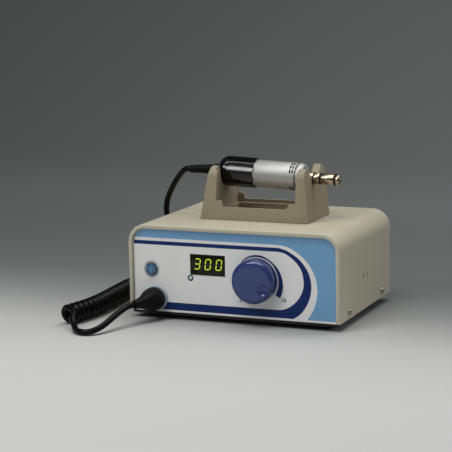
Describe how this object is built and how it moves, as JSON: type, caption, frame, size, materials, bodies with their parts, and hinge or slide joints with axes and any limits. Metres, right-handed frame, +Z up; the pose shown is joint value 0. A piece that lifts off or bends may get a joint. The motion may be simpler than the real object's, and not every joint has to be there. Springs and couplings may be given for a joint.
{
  "type": "micromotor polisher",
  "caption": "Bench micromotor polisher: beige control unit with display, speed knob and jack, taupe cradle on top, straight micromotor with a coupling spigot and a curly cord.",
  "frame": {"origin": "on the surface that the unit stands on, under the middle of the box round the unit and its motor, cord left out", "axes": "+Z up, -Y towards the front panel, +X along the motor towards its coupling spigot"},
  "size_m": [0.2264, 0.2147, 0.1275],
  "materials": {
    "enamel": "satin beige enamel",
    "black_steel": "matte black paint",
    "white_panel": "satin",
    "printed_film": "printed, satin",
    "smoked_lens": "polished",
    "rubber": "matte",
    "nickel": "nickel plated",
    "steel": "turned",
    "aluminium": "satin anodised",
    "black_anodised": "black anodised",
    "brass": "plain",
    "copper": "enamelled wire",
    "core_iron": "varnished laminations",
    "ferrite": "ground",
    "board": "solder resist",
    "black_plastic": "moulded",
    "black_gloss": "polished",
    "clear_lamp": "polished",
    "button_blue": "polished",
    "knob_blue": "moulded, glossy",
    "jack_grey": "moulded",
    "taupe": "moulded, matte",
    "cord_jacket": "shiny polyurethane"
  },
  "bodies": {
    "control_unit": {"cover": "enamel", "base_tray": "black_steel", "foot_front_left": "rubber", "foot_rear_left": "rubber", "foot_front_right": "rubber", "foot_rear_right": "rubber", "cover_screw_front_left": "nickel", "cover_screw_rear_left": "nickel", "cover_screw_front_right": "nickel", "cover_screw_rear_right": "nickel", "cradle_screw_left": "nickel", "cradle_screw_right": "nickel", "front_panel": "white_panel", "panel_overlay": "printed_film", "rear_panel": "enamel", "display_window": "smoked_lens", "display_module": "black_plastic", "indicator_lamp": "clear_lamp", "control_board": "board", "board_standoff_left": "brass", "board_standoff_right": "brass", "button_bezel": "black_plastic", "button_switch": "black_plastic", "potentiometer": "steel", "pot_nut": "nickel", "motor_jack": "jack_grey", "jack_nut": "nickel", "plug_shell": "nickel", "plug_boot": "rubber", "mains_inlet": "black_plastic", "rocker_frame": "black_plastic", "fuse_holder": "black_plastic", "pedal_jack": "nickel", "transformer_core": "core_iron", "transformer_winding": "copper", "power_board": "board", "smoothing_capacitor": "black_plastic", "heat_sink": "black_anodised", "cradle": "taupe", "cord_front": "cord_jacket", "cord_coil": "cord_jacket", "cord_tail": "cord_jacket"},
    "knob": {"speed_knob": "knob_blue", "knob_spindle": "aluminium"},
    "button": {"power_button": "button_blue"},
    "rocker": {"power_rocker": "black_plastic"},
    "motor": {"motor_strain_relief": "rubber", "motor_sleeve": "black_gloss", "motor_body": "aluminium", "motor_nose": "aluminium", "coupling_nozzle": "steel", "nozzle_ring_rear": "rubber", "nozzle_ring_front": "rubber", "rear_bearing": "steel", "front_bearing": "steel", "stator_magnet": "ferrite", "brush_carrier": "black_plastic"},
    "rotor": {"rotor_shaft": "steel", "rotor_core": "copper", "drive_dog": "steel"}
  },
  "joints": [
    {"name": "knob_turn", "type": "hinge", "parent": "control_unit", "child": "knob", "pos_m": [0.0207, -0.06365, 0.0376], "axis": [0, -1, 0], "range_deg": [-16, 254]},
    {"name": "button_press", "type": "slide", "parent": "control_unit", "child": "button", "axis": [0, 1, 0], "range_m": [0, 0.0012], "stiffness_N_per_m": 300},
    {"name": "rocker_tip", "type": "hinge", "parent": "control_unit", "child": "rocker", "pos_m": [0.028, 0.06445, 0.0405], "axis": [1, 0, 0], "range_deg": [0, 22]},
    {"name": "motor_lift", "type": "slide", "parent": "control_unit", "child": "motor", "axis": [0, 0, 1], "range_m": [0, 0.06]},
    {"name": "rotor_spin", "type": "hinge", "parent": "motor", "child": "rotor", "pos_m": [0, -0.00085, 0.1137], "axis": [0.999, 0, -0.0445], "continuous": true}
  ]
}
